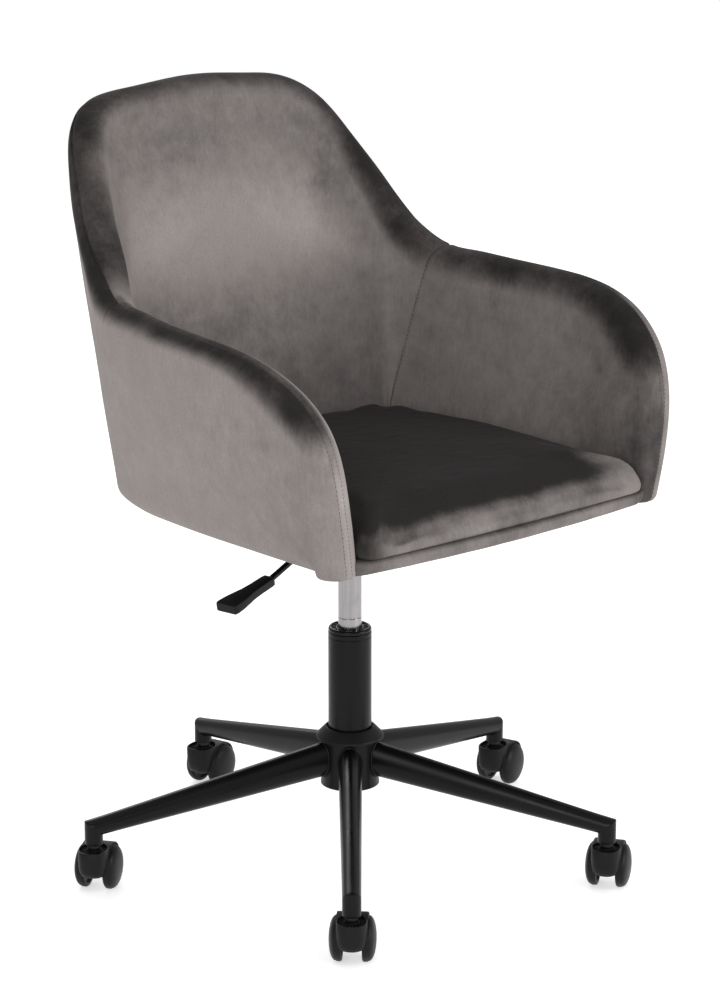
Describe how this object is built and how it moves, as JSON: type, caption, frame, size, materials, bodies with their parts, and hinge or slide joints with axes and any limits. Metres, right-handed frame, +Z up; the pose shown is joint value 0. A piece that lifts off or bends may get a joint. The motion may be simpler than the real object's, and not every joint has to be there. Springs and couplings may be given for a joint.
{
  "type": "swivel tub chair",
  "caption": "Upholstered velvet tub chair with arms on a height-adjustable gas lift and a black star base with swivelling twin-wheel casters.",
  "frame": {"origin": "on the floor, under the middle of the whole chair's footprint; the column axis stands 20.5 mm to the sitter's right of it and 25 mm in front of it", "axes": "+Z up, -Y the way the sitter faces, +X to the sitter's left"},
  "size_m": [0.6304, 0.6098, 0.872],
  "materials": {
    "velvet": "short-pile velvet, taupe grey, nap brushed in light and dark patches",
    "gloss_black_paint": "smooth semi-gloss black powder coat",
    "black_plastic": "moulded, fine matte texture",
    "bush_plastic": "glossy moulded bush",
    "wheel_nylon": "satin black nylon, slightly scuffed tread",
    "steel": "zinc plated",
    "brushed_steel": "ground and plated cylinder with faint vertical brushing",
    "plywood": "bare birch plywood",
    "lining": "black non-woven dust cover"
  },
  "bodies": {
    "base": {"base_hub": "gloss_black_paint", "hub_collar": "black_plastic", "leg_1": "gloss_black_paint", "socket_1": "gloss_black_paint", "caster_stem_1": "steel", "leg_2": "gloss_black_paint", "socket_2": "gloss_black_paint", "caster_stem_2": "steel", "leg_3": "gloss_black_paint", "socket_3": "gloss_black_paint", "caster_stem_3": "steel", "leg_4": "gloss_black_paint", "socket_4": "gloss_black_paint", "caster_stem_4": "steel", "leg_5": "gloss_black_paint", "socket_5": "gloss_black_paint", "caster_stem_5": "steel", "column_tube": "gloss_black_paint", "guide_bush": "bush_plastic", "thrust_bearing": "steel"},
    "lift_rod": {"piston_rod": "steel", "piston_clip": "steel"},
    "seat": {"gas_cylinder": "brushed_steel", "mechanism_channel": "gloss_black_paint", "mount_plate": "gloss_black_paint", "bolt_1": "steel", "bolt_2": "steel", "bolt_3": "steel", "bolt_4": "steel", "seat_board": "plywood", "dust_cover": "lining", "front_rail": "velvet", "seat_cushion": "velvet", "arm_left": "velvet", "arm_right": "velvet", "back_rest": "velvet"},
    "lever": {"lever_rod": "gloss_black_paint", "lever_paddle": "black_plastic"},
    "release_pin": {"release_pin": "steel"},
    "caster_1": {"caster_housing_1": "black_plastic", "caster_axle_1": "steel"},
    "wheel_1_left": {"wheel_1_left": "wheel_nylon"},
    "wheel_1_right": {"wheel_1_right": "wheel_nylon"},
    "caster_2": {"caster_housing_2": "black_plastic", "caster_axle_2": "steel"},
    "wheel_2_left": {"wheel_2_left": "wheel_nylon"},
    "wheel_2_right": {"wheel_2_right": "wheel_nylon"},
    "caster_3": {"caster_housing_3": "black_plastic", "caster_axle_3": "steel"},
    "wheel_3_left": {"wheel_3_left": "wheel_nylon"},
    "wheel_3_right": {"wheel_3_right": "wheel_nylon"},
    "caster_4": {"caster_housing_4": "black_plastic", "caster_axle_4": "steel"},
    "wheel_4_left": {"wheel_4_left": "wheel_nylon"},
    "wheel_4_right": {"wheel_4_right": "wheel_nylon"},
    "caster_5": {"caster_housing_5": "black_plastic", "caster_axle_5": "steel"},
    "wheel_5_left": {"wheel_5_left": "wheel_nylon"},
    "wheel_5_right": {"wheel_5_right": "wheel_nylon"}
  },
  "joints": [
    {"name": "seat_swivel", "type": "hinge", "parent": "base", "child": "lift_rod", "pos_m": [-0.0205, -0.025, 0.1], "axis": [0, 0, 1], "continuous": true},
    {"name": "seat_height", "type": "slide", "parent": "lift_rod", "child": "seat", "axis": [0, 0, 1], "range_m": [-0.08, 0]},
    {"name": "lever_lift", "type": "hinge", "parent": "seat", "child": "lever", "pos_m": [-0.05645, -0.03134, 0.40343], "axis": [-0.1736, 0.9848, 0], "range_deg": [0, 5], "stiffness_Nm_per_rad": 2},
    {"name": "pin_press", "type": "slide", "parent": "seat", "child": "release_pin", "axis": [0, 0, -1], "range_m": [0, 0.003]},
    {"name": "caster_1_swivel", "type": "hinge", "parent": "base", "child": "caster_1", "pos_m": [-0.2187, -0.25021, 0.05], "axis": [0, 0, 1], "continuous": true},
    {"name": "wheel_1_left_spin", "type": "hinge", "parent": "caster_1", "child": "wheel_1_left", "pos_m": [-0.22011, -0.22617, 0.025], "axis": [-0.7071, 0.7071, 0], "continuous": true},
    {"name": "wheel_1_right_spin", "type": "hinge", "parent": "caster_1", "child": "wheel_1_right", "pos_m": [-0.19465, -0.25162, 0.025], "axis": [-0.7071, 0.7071, 0], "continuous": true},
    {"name": "caster_2_swivel", "type": "hinge", "parent": "base", "child": "caster_2", "pos_m": [0.13244, -0.28309, 0.05], "axis": [0, 0, 1], "continuous": true},
    {"name": "wheel_2_left_spin", "type": "hinge", "parent": "caster_2", "child": "wheel_2_left", "pos_m": [0.13522, -0.25917, 0.025], "axis": [-0.5736, 0.8192, 0], "continuous": true},
    {"name": "wheel_2_right_spin", "type": "hinge", "parent": "caster_2", "child": "wheel_2_right", "pos_m": [0.15587, -0.28866, 0.025], "axis": [-0.5736, 0.8192, 0], "continuous": true},
    {"name": "caster_3_swivel", "type": "hinge", "parent": "base", "child": "caster_3", "pos_m": [0.27222, 0.0407, 0.05], "axis": [0, 0, 1], "continuous": true},
    {"name": "wheel_3_left_spin", "type": "hinge", "parent": "caster_3", "child": "wheel_3_left", "pos_m": [0.28187, 0.06276, 0.025], "axis": [-0.309, 0.9511, 0], "continuous": true},
    {"name": "wheel_3_right_spin", "type": "hinge", "parent": "caster_3", "child": "wheel_3_right", "pos_m": [0.293, 0.02852, 0.025], "axis": [-0.309, 0.9511, 0], "continuous": true},
    {"name": "caster_4_swivel", "type": "hinge", "parent": "base", "child": "caster_4", "pos_m": [0.00747, 0.27369, 0.05], "axis": [0, 0, 1], "continuous": true},
    {"name": "wheel_4_left_spin", "type": "hinge", "parent": "caster_4", "child": "wheel_4_left", "pos_m": [0.01789, 0.29541, 0.025], "axis": [-0.2756, 0.9613, 0], "continuous": true},
    {"name": "wheel_4_right_spin", "type": "hinge", "parent": "caster_4", "child": "wheel_4_right", "pos_m": [0.02781, 0.2608, 0.025], "axis": [-0.2756, 0.9613, 0], "continuous": true},
    {"name": "caster_5_swivel", "type": "hinge", "parent": "base", "child": "caster_5", "pos_m": [-0.29593, 0.0939, 0.05], "axis": [0, 0, 1], "continuous": true},
    {"name": "wheel_5_left_spin", "type": "hinge", "parent": "caster_5", "child": "wheel_5_left", "pos_m": [-0.29315, 0.11783, 0.025], "axis": [-0.5736, 0.8192, 0], "continuous": true},
    {"name": "wheel_5_right_spin", "type": "hinge", "parent": "caster_5", "child": "wheel_5_right", "pos_m": [-0.2725, 0.08834, 0.025], "axis": [-0.5736, 0.8192, 0], "continuous": true}
  ],
  "couplings": [
    {"joint": "pin_press", "follows": "lever_lift", "m_per_rad": 0.0343}
  ]
}
